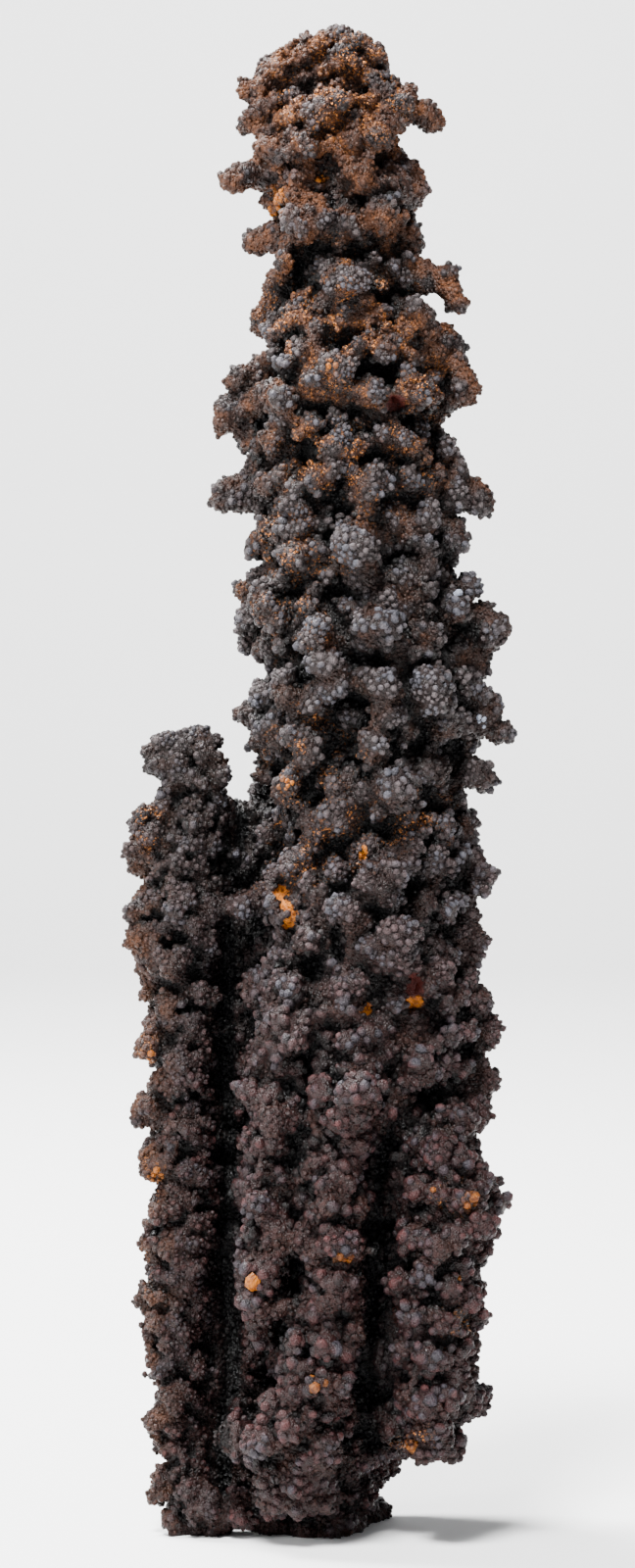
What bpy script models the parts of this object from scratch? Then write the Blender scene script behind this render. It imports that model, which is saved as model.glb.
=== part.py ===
"""A tall stalactitic chalcophanite specimen, grown together from several stalactites.

Frame: metres, +Z up, the flat cut underneath on z = 0, origin under the middle of the box.
Seen from -Y the tall stalactite is on the right and the short one on the left.
"""
import math

import bmesh
import bpy
import numpy as np
from mathutils import Matrix, Vector

MM = 0.001

# Driving sizes
SPECIMEN_HEIGHT = 150.0 * MM
SEED = 4719
TRIANGLE_TARGET = 9600
VOXEL = 0.5 * MM

# The lumps that cover every stalactite, and the knobs placed one by one
LUMP_RADIUS = 2.2 * MM
LUMP_RADIUS_SPREAD = 0.28
LUMP_ROW_PITCH = 4.2 * MM
LUMP_SPACING = 4.5 * MM
LUMP_DROOP = math.radians(38.0)
LUMP_STRETCH = 1.35
LUMP_SINK = 1.2
LUMP_PROUD_MOST = 0.55 * MM
LUMP_SUNK_MOST = 0.8 * MM
SIDEWAYS_SPREAD = 0.25
RISE_SPREAD = 0.3
BARE_SHARE = 0.1
KNOB_SINK = 0.3
KNOB_RISE = 0.9 * MM
OUT_RIGHT = Vector((1.0, -0.2, 0.0))
OUT_LEFT = Vector((-1.0, -0.2, 0.0))
OUT_FRONT = Vector((0.0, -1.0, 0.0))

# The closed bodies inside the lumps
CORE_INSET = 3.0 * MM
CORE_SHARE = 0.6
CORE_SIDES = 20
CORE_STEP = 2.5 * MM

# How large the lumps of each stalactite are, as a share of the common size
LUMP_SHARES = {
    "tall": 1.0,
    "short_left": 0.72,
    "web_between": 0.72,
    "front_middle": 0.75,
    "front_right": 0.75,
    "front_left": 0.75,
    "back_left": 1.0,
    "back_right": 1.0,
}

# Each stalactite: height, middle x, middle y, half width, half depth, all in mm
STALACTITES = {
    "tall": [
        (-2.0, -0.8, 4.0, 6.4, 7.0),
        (4.0, -0.2, 3.4, 6.8, 7.6),
        (8.0, 1.8, 2.8, 8.4, 7.9),
        (12.0, 3.6, 2.2, 9.8, 8.2),
        (30.0, 5.2, 2.0, 11.2, 8.4),
        (44.0, 4.8, 0.8, 11.8, 9.4),
        (52.0, 4.8, 0.0, 12.0, 10.6),
        (65.0, 4.4, 0.5, 11.6, 10.5),
        (72.0, 4.6, 1.0, 10.8, 10.0),
        (82.0, 4.8, 1.5, 12.0, 11.0),
        (91.0, 4.6, 2.0, 12.2, 11.0),
        (98.0, 3.4, 2.3, 10.2, 10.2),
        (104.0, 3.4, 2.6, 11.4, 10.5),
        (116.0, 3.3, 3.2, 11.0, 9.8),
        (127.0, 2.6, 3.8, 8.7, 8.4),
        (142.0, 1.9, 4.4, 9.4, 8.4),
        (145.5, 1.6, 4.6, 7.4, 7.0),
        (148.0, 1.6, 4.7, 5.2, 5.2),
        (149.8, 1.6, 4.8, 3.2, 3.4),
    ],
    "short_left": [
        (-2.0, -11.4, 1.0, 4.4, 4.6),
        (4.0, -13.4, 1.2, 3.3, 4.2),
        (12.0, -14.2, 1.5, 3.4, 4.4),
        (22.0, -14.2, 1.8, 3.6, 4.6),
        (32.0, -13.4, 2.0, 4.0, 4.8),
        (48.0, -13.4, 2.2, 4.2, 5.0),
        (60.0, -13.6, 2.3, 5.2, 5.4),
        (68.0, -13.2, 2.3, 5.0, 5.2),
        (73.0, -12.4, 2.3, 3.6, 4.2),
        (77.0, -13.4, 2.3, 4.1, 3.8),
        (79.4, -13.4, 2.3, 3.4, 2.6),
    ],
    "web_between": [
        (-2.0, -8.0, 4.5, 4.4, 4.4),
        (8.0, -8.6, 5.8, 4.4, 4.0),
        (60.0, -8.6, 5.8, 4.4, 4.0),
        (73.0, -7.8, 5.8, 3.6, 3.0),
    ],
    "front_middle": [
        (3.4, -1.6, -5.4, 4.0, 3.6),
        (9.0, -2.6, -8.0, 5.2, 4.6),
        (13.0, -2.4, -8.8, 5.2, 4.8),
        (18.0, 0.2, -9.2, 4.8, 4.8),
        (25.0, 1.6, -9.2, 4.3, 4.8),
        (36.0, 1.9, -8.8, 4.3, 4.6),
        (46.0, 2.6, -8.2, 4.6, 4.6),
        (66.0, 4.2, -5.4, 4.4, 4.0),
    ],
    "front_right": [
        (8.6, 11.6, -6.4, 3.4, 3.8),
        (13.0, 11.5, -8.0, 4.0, 4.8),
        (20.0, 11.5, -8.4, 4.7, 5.2),
        (27.0, 11.9, -8.4, 5.0, 5.2),
        (35.0, 12.8, -7.8, 5.3, 5.2),
        (42.5, 12.4, -5.6, 3.8, 4.0),
    ],
    "front_left": [
        (20.0, -5.2, -6.0, 2.4, 2.8),
        (24.0, -5.4, -7.0, 2.9, 3.6),
        (31.0, -5.2, -6.8, 3.1, 3.8),
        (44.0, -4.2, -6.2, 3.6, 4.1),
        (57.0, -2.6, -4.8, 3.8, 3.8),
    ],
    "back_left": [
        (-2.0, -3.0, 9.0, 5.6, 5.2),
        (40.0, -3.6, 9.4, 5.6, 5.4),
        (80.0, -2.4, 9.8, 5.0, 4.8),
        (94.0, -1.6, 9.6, 3.2, 3.2),
    ],
    "back_right": [
        (-2.0, 2.6, 8.4, 4.2, 4.6),
        (5.0, 3.4, 8.6, 4.4, 5.0),
        (9.0, 6.2, 8.6, 5.0, 5.2),
        (16.0, 9.0, 8.6, 5.6, 5.4),
        (44.0, 11.0, 8.2, 5.6, 5.2),
        (60.0, 10.4, 7.6, 3.4, 3.4),
    ],
}

# Knobs that stand out in the outline: x, y, height, radius, all in mm
RIGHT_KNOBS = [
    (5.4, 3.0, 145.4, 1.8),
    (8.8, 3.0, 142.8, 1.9),
    (11.0, 4.0, 140.6, 1.6),
    (8.0, 3.0, 136.4, 1.5),
    (9.6, 4.0, 134.0, 1.6),
    (9.8, 3.0, 128.6, 1.4),
    (12.4, 2.0, 124.6, 1.9),
    (13.6, 1.0, 122.6, 1.4),
    (12.8, 2.0, 118.2, 1.9),
    (14.4, 1.0, 115.0, 1.9),
    (14.8, 0.0, 113.0, 1.4),
    (12.8, 0.0, 105.6, 2.4),
    (15.6, 1.0, 102.6, 2.1),
    (12.8, 0.0, 99.4, 2.0),
    (13.2, 1.0, 93.8, 2.3),
    (17.4, 1.0, 90.0, 2.3),
    (15.8, 1.0, 87.0, 2.0),
    (16.0, 0.0, 82.4, 2.3),
    (17.6, 1.0, 79.8, 1.9),
    (15.2, 0.0, 75.2, 2.0),
    (14.4, 0.0, 69.6, 1.9),
    (15.4, 0.0, 65.4, 2.4),
    (14.8, 0.0, 62.4, 1.8),
    (15.0, 0.0, 59.4, 1.9),
    (14.4, 0.0, 56.4, 1.7),
    (15.6, 0.0, 52.6, 2.3),
    (16.2, 0.0, 49.4, 1.9),
    (15.8, 0.0, 44.6, 2.3),
    (15.4, -2.0, 41.4, 1.8),
    (16.2, -6.0, 34.0, 2.2),
    (15.6, -5.0, 30.2, 1.8),
    (14.6, -6.0, 24.4, 1.9),
    (14.6, -5.0, 19.6, 1.8),
    (14.6, -5.0, 16.8, 1.4),
    (15.0, -3.0, 12.4, 1.6),
    (13.2, -6.0, 9.8, 1.3),
]
LEFT_KNOBS = [
    (0.8, 3.0, 147.9, 1.9),
    (-1.6, 3.0, 147.0, 2.3),
    (-4.2, 3.0, 145.2, 2.3),
    (-6.0, 3.0, 143.6, 1.9),
    (-6.0, 3.0, 140.4, 1.7),
    (-7.2, 3.0, 135.0, 2.1),
    (-5.8, 3.0, 128.6, 1.3),
    (-5.6, 3.0, 120.8, 1.5),
    (-7.6, 3.0, 115.0, 1.9),
    (-9.0, 3.0, 110.8, 1.9),
    (-8.6, 3.0, 103.0, 2.3),
    (-6.8, 3.0, 93.4, 1.6),
    (-6.2, 3.0, 88.4, 1.6),
    (-6.8, 3.0, 81.0, 1.6),
    (-5.5, 3.0, 78.2, 1.7),
    (-4.8, 2.0, 75.2, 1.6),
    (-6.9, -1.0, 62.2, 2.1),
    (-6.0, -2.0, 54.0, 1.7),
    (-6.0, -2.0, 47.0, 1.6),
    (-6.6, -4.0, 34.0, 1.6),
    (-7.0, -6.0, 25.2, 1.9),
    (-6.6, -6.0, 22.2, 1.4),
    (-8.4, -7.4, 9.8, 1.8),
]
SHORT_KNOBS = [
    (-15.5, 1.0, 76.4, 1.7),
    (-13.4, 1.0, 77.0, 1.8),
    (-11.4, 1.0, 76.8, 1.6),
    (-9.9, 1.0, 74.8, 1.5),
    (-16.8, 1.0, 70.6, 1.8),
    (-17.0, 1.0, 67.6, 2.2),
    (-17.4, 1.0, 61.6, 1.9),
    (-18.4, 1.0, 58.4, 1.4),
    (-16.4, 1.0, 47.8, 1.9),
    (-16.8, 1.0, 41.6, 2.0),
    (-16.2, 1.0, 36.2, 2.0),
    (-16.4, 1.0, 28.2, 1.8),
    (-16.4, 1.0, 22.8, 2.0),
    (-15.8, 1.0, 16.0, 1.8),
    (-16.0, 1.0, 10.6, 1.9),
    (-15.2, 0.0, 4.4, 1.9),
    (-11.4, -2.6, 2.6, 2.1),
    (-8.2, -2.0, 1.6, 1.9),
]

# Knobs that close the seam behind the short stalactite: x, y, height, radius, all in mm
SEAM_KNOBS = [
    (-11.4, 3.6, 13.4, 1.8),
    (-11.6, 3.4, 9.6, 1.7),
]

# Knobs that stand out on the front face: x, height, radius, all in mm
FRONT_KNOBS = [
    (-1.3, 130.6, 2.2),
    (-3.4, 126.6, 1.5),
    (2.4, 124.2, 2.4),
    (6.3, 131.2, 1.7),
    (10.1, 121.6, 1.7),
    (-3.7, 112.8, 1.9),
    (-1.1, 114.6, 1.5),
    (1.6, 115.4, 2.2),
    (-0.5, 118.4, 1.4),
    (6.6, 118.0, 1.7),
    (5.0, 113.4, 1.7),
    (9.4, 114.0, 2.3),
    (4.0, 98.2, 2.8),
    (-2.2, 97.6, 1.9),
    (-5.0, 92.6, 2.1),
    (5.4, 90.4, 2.6),
    (0.2, 89.4, 2.3),
    (1.2, 85.8, 2.1),
    (6.4, 84.0, 2.2),
    (11.2, 84.0, 2.8),
    (-3.0, 83.8, 2.0),
    (-1.4, 78.2, 2.1),
    (5.4, 78.8, 2.2),
    (7.2, 74.6, 2.6),
    (-3.0, 74.2, 1.7),
    (6.0, 65.4, 2.2),
    (7.4, 59.6, 2.6),
    (3.0, 62.0, 2.2),
    (-2.4, 51.0, 2.5),
    (3.6, 44.4, 2.8),
    (-4.2, 42.2, 2.0),
    (9.8, 47.0, 2.1),
]

CRUST_COLOUR = (0.028, 0.021, 0.021, 1.0)
CRUST_ROUGHNESS = 0.55
CRUST_METALLIC = 0.25


def clear_scene():
    """Start from an empty scene."""
    for old in list(bpy.data.objects):
        bpy.data.objects.remove(old, do_unlink=True)


def crust_material():
    """Dark purplish brown manganese oxide with a weak metallic gloss."""
    material = bpy.data.materials.new("black_oxide")
    material.use_nodes = True
    shader = material.node_tree.nodes["Principled BSDF"]
    shader.inputs["Base Color"].default_value = CRUST_COLOUR
    shader.inputs["Roughness"].default_value = CRUST_ROUGHNESS
    shader.inputs["Metallic"].default_value = CRUST_METALLIC
    return material


def section_at(stations, height):
    """The middle and half sizes of a stalactite at one height, in metres."""
    table = np.array(stations) * MM
    return [float(np.interp(height, table[:, 0], table[:, column])) for column in range(1, 5)]


def height_range(stations):
    """The lowest and highest station of a stalactite, in metres."""
    return stations[0][0] * MM, stations[-1][0] * MM


def add_core(shell, stations, share):
    """The closed inner body of one stalactite, which the lumps grow on."""
    inset = CORE_INSET * share
    low, high = height_range(stations)
    steps = max(2, round((high - low) / CORE_STEP))
    rings = []
    for step in range(steps + 1):
        height = low + (high - low) * step / steps
        x, y, half_width, half_depth = section_at(stations, height)
        half_width = max(half_width - inset, CORE_SHARE * half_width)
        half_depth = max(half_depth - inset, CORE_SHARE * half_depth)
        ring = []
        for side in range(CORE_SIDES):
            angle = 2.0 * math.pi * side / CORE_SIDES
            place = (x + half_width * math.cos(angle), y + half_depth * math.sin(angle), height)
            ring.append(shell.verts.new(place))
        rings.append(ring)
    for lower, upper in zip(rings, rings[1:]):
        for side in range(CORE_SIDES):
            after = (side + 1) % CORE_SIDES
            shell.faces.new((lower[side], lower[after], upper[after], upper[side]))
    shell.faces.new(list(reversed(rings[0])))
    shell.faces.new(rings[-1])


def add_lump(shell, centre, outward, radius):
    """One knob, drawn out along its outward and downward slope."""
    flat = Vector((outward.x, outward.y, 0.0)).normalized()
    slope = flat * math.cos(LUMP_DROOP) - Vector((0.0, 0.0, math.sin(LUMP_DROOP)))
    turn = Vector((0.0, 0.0, 1.0)).rotation_difference(slope).to_matrix().to_4x4()
    stretch = Matrix.Diagonal((radius, radius, radius * LUMP_STRETCH, 1.0))
    placed = Matrix.Translation(centre) @ turn @ stretch
    bmesh.ops.create_icosphere(shell, subdivisions=2, radius=1.0, matrix=placed)


def grow_lumps(shell, stations, share, chance):
    """Rows of lumps round a stalactite, like shingles, with a few bare places."""
    pitch = LUMP_ROW_PITCH * share
    low, high = height_range(stations)
    height = low + 0.5 * pitch
    while height < high:
        x, y, half_width, half_depth = section_at(stations, height)
        around = math.pi * (half_width + half_depth)
        count = max(3, round(around / (LUMP_SPACING * share)))
        start = chance.uniform(0.0, 2.0 * math.pi)
        for place in range(count):
            shift = chance.uniform(-SIDEWAYS_SPREAD, SIDEWAYS_SPREAD)
            angle = start + 2.0 * math.pi * (place + shift) / count
            radius = LUMP_RADIUS * share * (1.0 + LUMP_RADIUS_SPREAD * chance.uniform(-1.0, 1.0))
            rise = chance.uniform(-RISE_SPREAD, RISE_SPREAD) * pitch
            bare = chance.random() < BARE_SHARE
            outward = Vector((math.cos(angle), math.sin(angle), 0.0))
            across = Vector((half_width * outward.x, half_depth * outward.y, 0.0))
            depth = LUMP_SINK * radius + chance.uniform(-LUMP_PROUD_MOST, LUMP_SUNK_MOST) * share
            sunk = across.length - depth
            centre = Vector((x, y, height + rise)) + across.normalized() * max(sunk, 0.0)
            if not bare:
                add_lump(shell, centre, outward, radius)
        height += pitch


def add_side_knobs(shell, knobs, outward):
    """Knobs placed one by one along an outline, raised a little because they droop."""
    for x, y, height, radius in knobs:
        centre = Vector((x * MM, y * MM, height * MM + KNOB_RISE))
        add_lump(shell, centre, outward, radius * MM)


def front_surface(x, height):
    """How far forward the grown-together stalactites reach at one place of the front."""
    reach = []
    for stations in STALACTITES.values():
        low, high = height_range(stations)
        if low <= height <= high:
            middle_x, middle_y, half_width, half_depth = section_at(stations, height)
            share = (x - middle_x) / half_width
            if abs(share) < 1.0:
                reach.append(middle_y - half_depth * math.sqrt(1.0 - share * share))
    return min(reach)


def add_front_knobs(shell):
    """Knobs placed one by one on the front face."""
    for x, height, radius in FRONT_KNOBS:
        y = front_surface(x * MM, height * MM) + KNOB_SINK * radius * MM
        centre = Vector((x * MM, y, height * MM))
        add_lump(shell, centre, OUT_FRONT, radius * MM)


def loose_shells():
    """Every core, lump and knob as overlapping closed shells in one mesh."""
    shell = bmesh.new()
    chance = np.random.default_rng(SEED)
    for name, stations in STALACTITES.items():
        add_core(shell, stations, LUMP_SHARES[name])
        grow_lumps(shell, stations, LUMP_SHARES[name], chance)
    add_side_knobs(shell, RIGHT_KNOBS, OUT_RIGHT)
    add_side_knobs(shell, LEFT_KNOBS, OUT_LEFT)
    add_side_knobs(shell, SHORT_KNOBS, OUT_LEFT)
    add_side_knobs(shell, SEAM_KNOBS, OUT_LEFT)
    add_front_knobs(shell)
    mesh = bpy.data.meshes.new("loose_shells")
    shell.to_mesh(mesh)
    shell.free()
    return mesh


def evaluated_copy(item):
    """The object's mesh with its modifiers applied."""
    bpy.context.view_layer.update()
    graph = bpy.context.evaluated_depsgraph_get()
    return bpy.data.meshes.new_from_object(item.evaluated_get(graph), depsgraph=graph)


def fused_mesh(mesh):
    """The overlapping shells grown into one skin, then thinned to the triangle target."""
    helper = bpy.data.objects.new("fusing", mesh)
    bpy.context.scene.collection.objects.link(helper)
    remesh = helper.modifiers.new("grow_together", "REMESH")
    remesh.mode = "VOXEL"
    remesh.voxel_size = VOXEL
    fine = evaluated_copy(helper)
    bpy.data.objects.remove(helper, do_unlink=True)
    fine = outer_skin(fine)
    fine.calc_loop_triangles()
    helper = bpy.data.objects.new("thinning", fine)
    bpy.context.scene.collection.objects.link(helper)
    thin = helper.modifiers.new("thin", "DECIMATE")
    thin.ratio = TRIANGLE_TARGET / len(fine.loop_triangles)
    thin.use_collapse_triangulate = True
    coarse = evaluated_copy(helper)
    bpy.data.objects.remove(helper, do_unlink=True)
    return coarse


def islands(grid):
    """The separate skins of a bmesh, as lists of vertices."""
    unseen = set(grid.verts)
    found = []
    while unseen:
        start = unseen.pop()
        island = [start]
        waiting = [start]
        while waiting:
            for edge in waiting.pop().link_edges:
                for vertex in edge.verts:
                    if vertex in unseen:
                        unseen.remove(vertex)
                        island.append(vertex)
                        waiting.append(vertex)
        found.append(island)
    return found


def outer_skin(mesh):
    """The mesh without the skins of sealed hollows and crumbs."""
    grid = bmesh.new()
    grid.from_mesh(mesh)
    grid.verts.ensure_lookup_table()
    parts = sorted(islands(grid), key=len)
    spare = [vertex for island in parts[:-1] for vertex in island]
    bmesh.ops.delete(grid, geom=spare, context="VERTS")
    grid.to_mesh(mesh)
    grid.free()
    return mesh


def cut_flat(mesh):
    """Cut the foot off level, close the cut, and scale the height to its size."""
    grid = bmesh.new()
    grid.from_mesh(mesh)
    whole = list(grid.verts) + list(grid.edges) + list(grid.faces)
    bmesh.ops.bisect_plane(
        grid, geom=whole, plane_co=(0.0, 0.0, 0.0), plane_no=(0.0, 0.0, -1.0), clear_outer=True
    )
    rim = [edge for edge in grid.edges if edge.is_boundary]
    bmesh.ops.holes_fill(grid, edges=rim, sides=0)
    parts = sorted(islands(grid), key=len)
    spare = [vertex for island in parts[:-1] for vertex in island]
    bmesh.ops.delete(grid, geom=spare, context="VERTS")
    bmesh.ops.triangulate(grid, faces=[face for face in grid.faces if len(face.verts) > 3])
    bmesh.ops.recalc_face_normals(grid, faces=grid.faces)
    top = max(vertex.co.z for vertex in grid.verts)
    left = min(vertex.co.x for vertex in grid.verts)
    right = max(vertex.co.x for vertex in grid.verts)
    front = min(vertex.co.y for vertex in grid.verts)
    back = max(vertex.co.y for vertex in grid.verts)
    middle = Vector((0.5 * (left + right), 0.5 * (front + back), 0.0))
    for vertex in grid.verts:
        vertex.co = (vertex.co - middle) * (SPECIMEN_HEIGHT / top)
    grid.to_mesh(mesh)
    grid.free()
    return mesh


def build_specimen():
    """The whole specimen as one grown-together solid."""
    mesh = cut_flat(fused_mesh(loose_shells()))
    mesh.name = "chalcophanite_specimen"
    specimen = bpy.data.objects.new("chalcophanite_specimen", mesh)
    specimen.data.materials.clear()
    specimen.data.materials.append(crust_material())
    bpy.context.scene.collection.objects.link(specimen)
    return specimen


clear_scene()
build_specimen()
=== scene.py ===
"""The looks of the chalcophanite specimen: a dark crust that carries clusters of tiny round globules."""
import math

import bmesh
import bpy
import numpy as np
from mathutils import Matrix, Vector, noise
from mathutils.bvhtree import BVHTree
from mathutils.kdtree import KDTree


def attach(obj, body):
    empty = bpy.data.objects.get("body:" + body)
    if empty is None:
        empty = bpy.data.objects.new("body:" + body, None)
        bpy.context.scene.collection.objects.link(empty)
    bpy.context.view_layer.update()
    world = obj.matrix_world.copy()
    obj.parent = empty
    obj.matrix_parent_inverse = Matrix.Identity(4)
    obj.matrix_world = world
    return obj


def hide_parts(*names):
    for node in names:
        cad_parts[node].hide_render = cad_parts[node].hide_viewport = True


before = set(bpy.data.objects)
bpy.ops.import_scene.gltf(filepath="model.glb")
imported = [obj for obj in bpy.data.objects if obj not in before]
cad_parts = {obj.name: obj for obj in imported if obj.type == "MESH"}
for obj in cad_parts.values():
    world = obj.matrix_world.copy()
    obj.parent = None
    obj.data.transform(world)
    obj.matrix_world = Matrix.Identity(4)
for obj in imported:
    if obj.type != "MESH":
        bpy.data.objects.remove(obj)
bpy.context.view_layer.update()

MM = 0.001
NODE = "chalcophanite_specimen"
SEED = 2026

# The camera looks level at the front, at the scale at which the specimen was measured
PIXEL = 0.097 * MM
FRAME_ROWS = 1600
LENS = 100.0
SENSOR = 36.0
FOOT_ROW = 1565
MIDDLE_COLUMN = 323.5
CAMERA_PLACE = (0.0, -FRAME_ROWS * PIXEL * LENS / SENSOR, (FOOT_ROW - 0.5 * FRAME_ROWS) * PIXEL)

# Where one kind of crust passes over into the next, in millimetres
SHORT_SIDE = (8.0, 10.0)
SHORT_TOP = (84.0, 88.0)
LOW_TOP = (40.0, 62.0)
LOW_FRONT = (1.0, 6.0)
UPPER_START = (97.0, 108.0)
TOP_START = (126.0, 136.0)

# How far a surface turns to the back, as the depth part of its outward direction
AWAY_TURN = (-0.1, 0.5)
HIDDEN_TURN = 0.4

# Radii in millimetres: first the usual one, then the one of each zone
GLOBULE_RADIUS = 0.335
GLOBULE_RADII = {"upper": 0.29, "low": 0.50, "short": 0.30, "away": 0.38}
HEAD_RADIUS = 1.20
HEAD_RADII = {"upper": 1.05, "top": 0.75, "low": 0.95, "short": 0.85, "away": 1.35}

# The skin that the heads stand on lies inside the CAD solid, less deep where the stone is thin
JOIN_DISTANCE = 0.001 * MM
FOOT_TOLERANCE = 0.01 * MM
SKIN_INSET = 1.4 * MM
INSET_SHARE = 0.3
ASLANT = 0.8
INWARD_START = 0.1 * MM

# Heads are the round cauliflower shapes
HEAD_CANDIDATES = 40000
HEAD_INSET = 0.15 * MM
HEAD_SPREAD = 0.35
HEAD_SPACING = 1.5
HEAD_SINK = (0.55, 1.15)
CLUMP_SIZE = 5.0 * MM
CLUMP_CONTRAST = 1.1
CLUMP_LEAST = 0.55
CLUMP_GAIN = 0.85
PLACED_SINK = 0.50
PLACED_SPACING = 0.9
PLACED_TURN = 0.5
ROOMY = (0.22, 0.55)
CRAMPED_RADIUS = 0.40
CRAMPED_SINK = 0.5
BARE_MARGIN = 1.5
HEADLESS_CLEFT = 0.3

# Each head is a ball with a few lobes
BALL_SHARE = 0.72
BALL_SHRINK = 0.95
LOBES = 5
LOBE_LEAN = 0.9
LOBE_OFFSET = 0.55
LOBE_RADIUS = (0.36, 0.60)

# Knobs are the smaller balls on the heads
KNOBS_TRIED = 20
KNOB_FACING = -0.3
KNOB_SHARE = 1.6
KNOB_SPREAD = 0.35
KNOB_SPACING = 1.55
KNOB_SINK = 0.25
KNOB_MOST = 0.6

HEAD_BALL_LEVELS = 2
KNOB_BALL_LEVELS = 1
CRUST_VOXEL = 0.30 * MM
CRUST_TRIANGLES = 90000

# Globules are the smallest balls; each is a dome on the crust
CANDIDATES = 480000
GLOBULE_SPACING = 1.58
GLOBULE_SINK = 0.15
GLOBULE_SPREAD = 0.40
CLUSTER_SPREAD = 0.22
SUNK_SIZE = 0.72
PROUD_GAIN = 0.33
PROUD_RISE = (0.15, 0.8)
LEAST_OPENNESS = 0.2
DOME_SIDES = 5
DOME_RINGS = (0.62, -0.22)
DOME_ROUGHNESS = 0.15
DOME_SQUEEZE = 0.20

# How far rays look for other stone, to tell open places from clefts
RAYS = 12
RAY_LIFT = 0.12 * MM
NEAR_REACH = 5.0 * MM
NEAR_SHARE = 0.4
FAR_REACH = 13.0 * MM
# TOP_LIFT raises the stored openness and room at the top, so the top takes less painted shade
TOP_LIFT = 0.15

# The globules are one piece for each side, in turn about an upright line through the specimen
SECTORS = ["left", "front_left", "front", "front_right", "right", "back"]
TURN_X = 2.0 * MM
TURN_Y = 1.0 * MM
FIRST_ANGLE = 150.0

# How much of its map cell a dome fills, and the corners of the pair of faces in a cell of the crust
MAP_FILL = 0.43
FACE_LOW = 0.10
FACE_HIGH = 0.78
FACE_GAP = 0.12

# How deep the bare patches of the front are sunk, and how far behind the front they are looked for
OCHRE_DEPTH = 0.7 * MM
RED_DEPTH = 1.8 * MM
CLEFT_DEPTH = 1.6 * MM
FRONT_DEEPEST = 3.0 * MM
CLEFT_DEEPEST = 8.0 * MM
PATCH_DEPTH = 5.0 * MM
NO_PATCH = 99.0

# Where a patch fades out, as shares of its half width and half height
PIT_SLOPE = (0.35, 1.25)
CLEFT_EDGE = (0.55, 1.25)
OCHRE_EDGE = (0.8, 1.3)
PAINTED_GLINT_EDGE = (0.9, 1.1)
GRAINY_EDGE = (0.4, 1.2)
PIT_COLOUR_EDGE = (0.95, 1.25)

# How much painted shade darkens the clefts and the short stalactite, as the share of colour they keep
CLEFT_SHADE = 0.22
SHORT_SHADE = 0.72

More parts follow.
